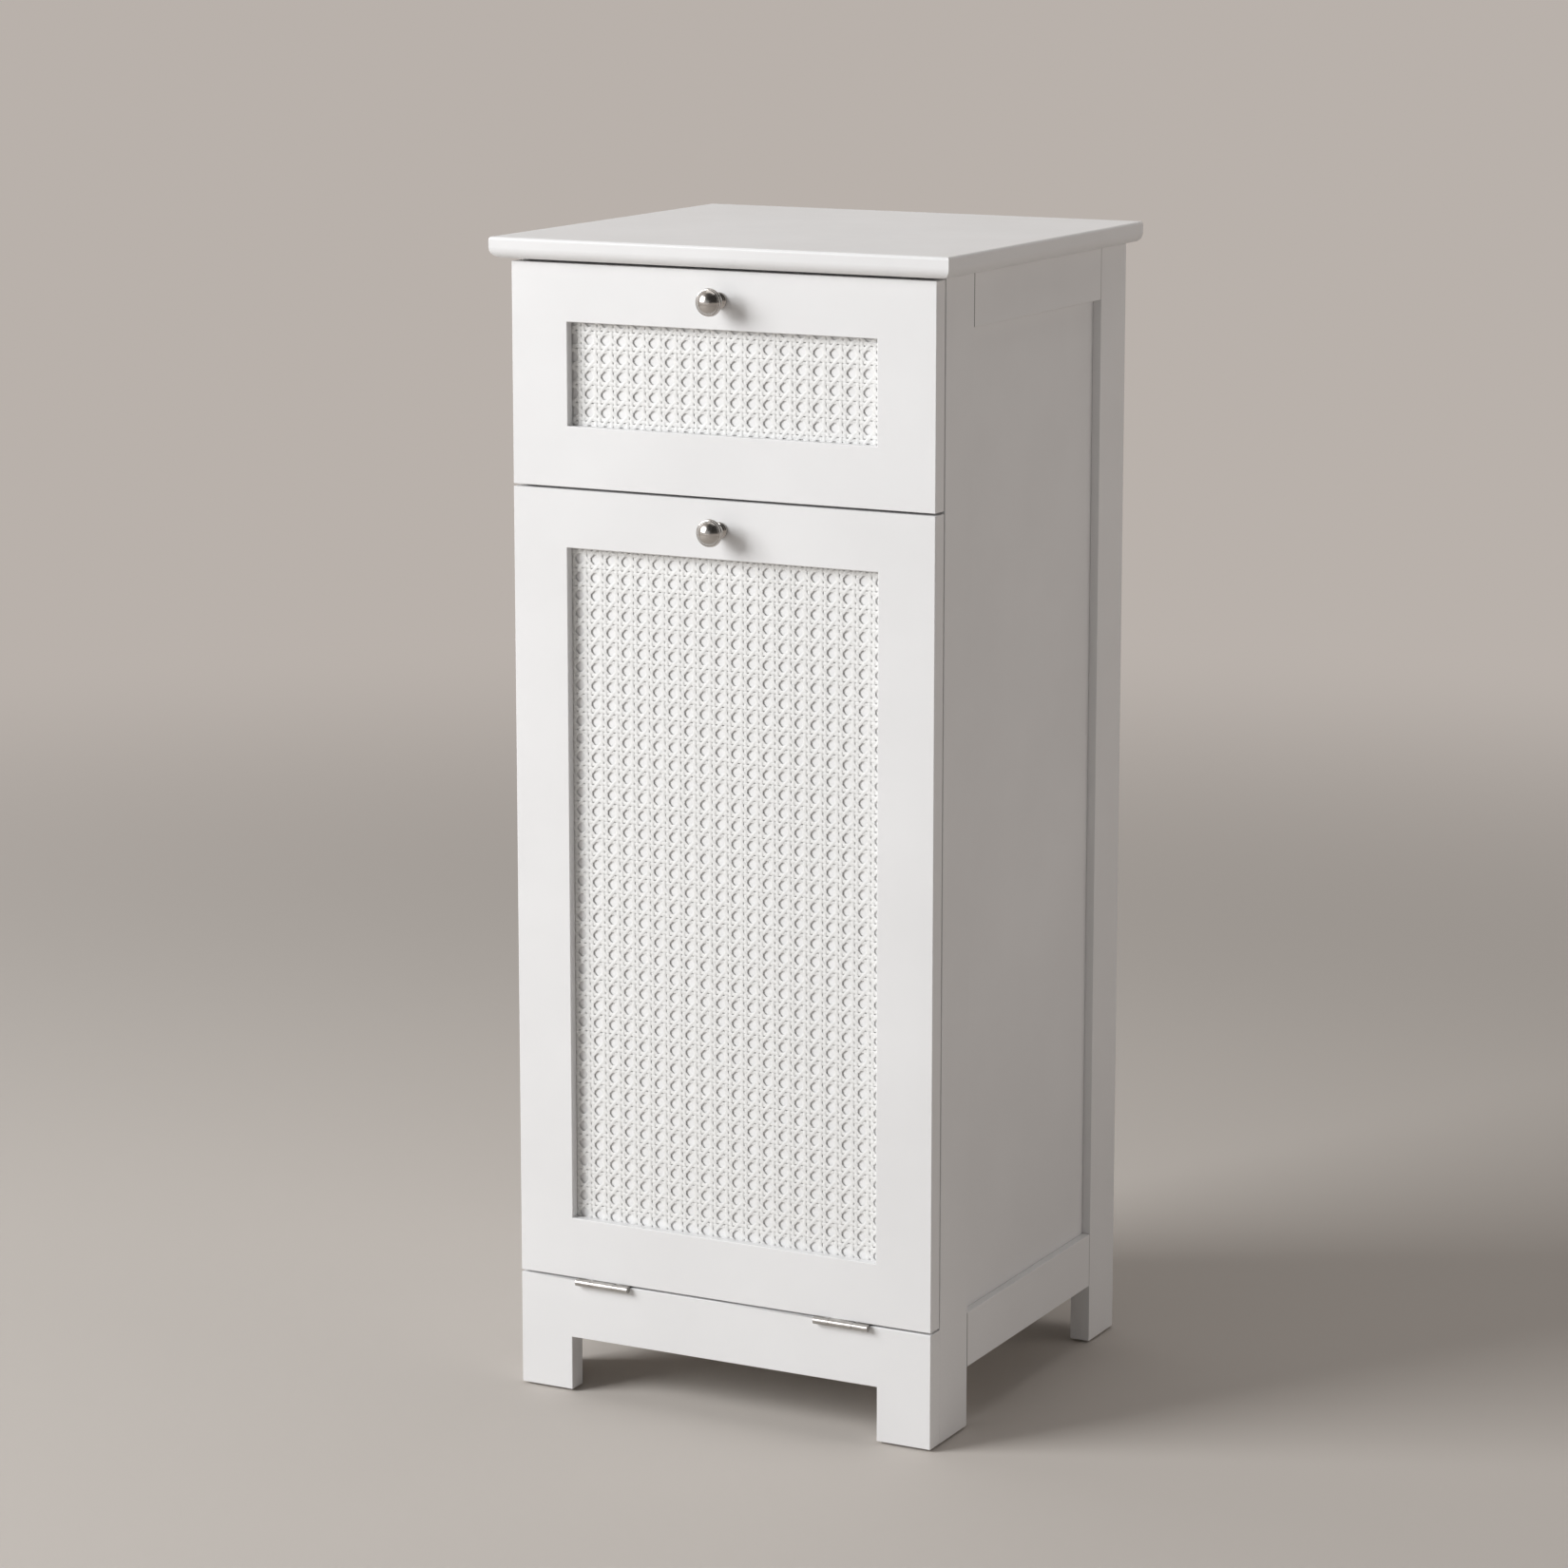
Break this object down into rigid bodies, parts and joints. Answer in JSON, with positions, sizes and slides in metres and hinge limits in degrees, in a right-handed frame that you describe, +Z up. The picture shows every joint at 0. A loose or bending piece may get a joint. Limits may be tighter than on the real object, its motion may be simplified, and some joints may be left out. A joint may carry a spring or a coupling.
{
  "type": "tilt-out hamper cabinet",
  "caption": "Tall narrow bathroom linen cabinet on legs, with a drawer over a tilt-out hamper door, cane panels and round knobs.",
  "frame": {"origin": "under the middle of the whole cabinet, knobs and top included, on the floor", "axes": "+Z up, -Y is the front with the drawer and the door, +X is the right side seen from the front"},
  "size_m": [0.425, 0.408, 1],
  "materials": {
    "paint": "satin white paint on board",
    "board": "white melamine-faced board",
    "bare_wood": "bare pine and beech",
    "cane": "white woven cane, satin",
    "nickel": "polished nickel plate",
    "zinc_steel": "bright zinc plate",
    "white_plastic": "white moulded plastic"
  },
  "bodies": {
    "root": {"top_panel": "paint", "left_front_stile": "paint", "right_front_stile": "paint", "left_rear_stile": "paint", "right_rear_stile": "paint", "left_top_rail": "paint", "right_top_rail": "paint", "left_bottom_rail": "paint", "right_bottom_rail": "paint", "left_side_panel": "paint", "right_side_panel": "paint", "apron": "paint", "floor_panel": "board", "divider_panel": "board", "back_panel": "board", "rear_top_rail": "paint", "rear_bottom_rail": "paint", "front_stretcher": "board", "slide_battens": "bare_wood", "panel_cleats": "bare_wood", "slide_channels": "zinc_steel", "slide_screws": "zinc_steel", "hinge_fixed_leaves": "nickel", "hinge_pins": "nickel", "hinge_fixed_screws": "nickel", "magnetic_catch": "white_plastic", "stop_pins": "zinc_steel", "foot_glides": "white_plastic", "frame_dowels": "bare_wood", "top_screws": "zinc_steel"},
    "drawer": {"drawer_front": "paint", "drawer_cane": "cane", "drawer_backing": "board", "drawer_left_side": "board", "drawer_right_side": "board", "drawer_box_front": "board", "drawer_box_back": "board", "drawer_bottom": "board", "slide_runners": "zinc_steel", "runner_screws": "zinc_steel", "drawer_front_screws": "zinc_steel", "drawer_bumpers": "white_plastic", "drawer_knob": "nickel", "drawer_knob_screw": "zinc_steel"},
    "ball_cages": {"ball_cages": "zinc_steel", "slide_balls": "zinc_steel"},
    "door": {"door_frame": "paint", "door_cane": "cane", "door_backing": "board", "bin_left_side": "board", "bin_right_side": "board", "bin_floor": "board", "bin_back": "board", "bin_brackets": "zinc_steel", "door_knob": "nickel", "door_knob_screw": "zinc_steel", "hinge_moving_leaves": "nickel", "hinge_moving_screws": "nickel", "strike_plate": "zinc_steel", "door_bumpers": "white_plastic"}
  },
  "joints": [
    {"name": "drawer_slide", "type": "slide", "parent": "root", "child": "drawer", "axis": [0, -1, 0], "range_m": [0, 0.225]},
    {"name": "cage_slide", "type": "slide", "parent": "root", "child": "ball_cages", "axis": [0, -1, 0], "range_m": [0, 0.1125]},
    {"name": "door_tilt", "type": "hinge", "parent": "root", "child": "door", "pos_m": [0, -0.1803, 0.1006], "axis": [1, 0, 0], "range_deg": [0, 35]}
  ],
  "couplings": [
    {"joint": "cage_slide", "follows": "drawer_slide", "ratio": 0.5}
  ]
}
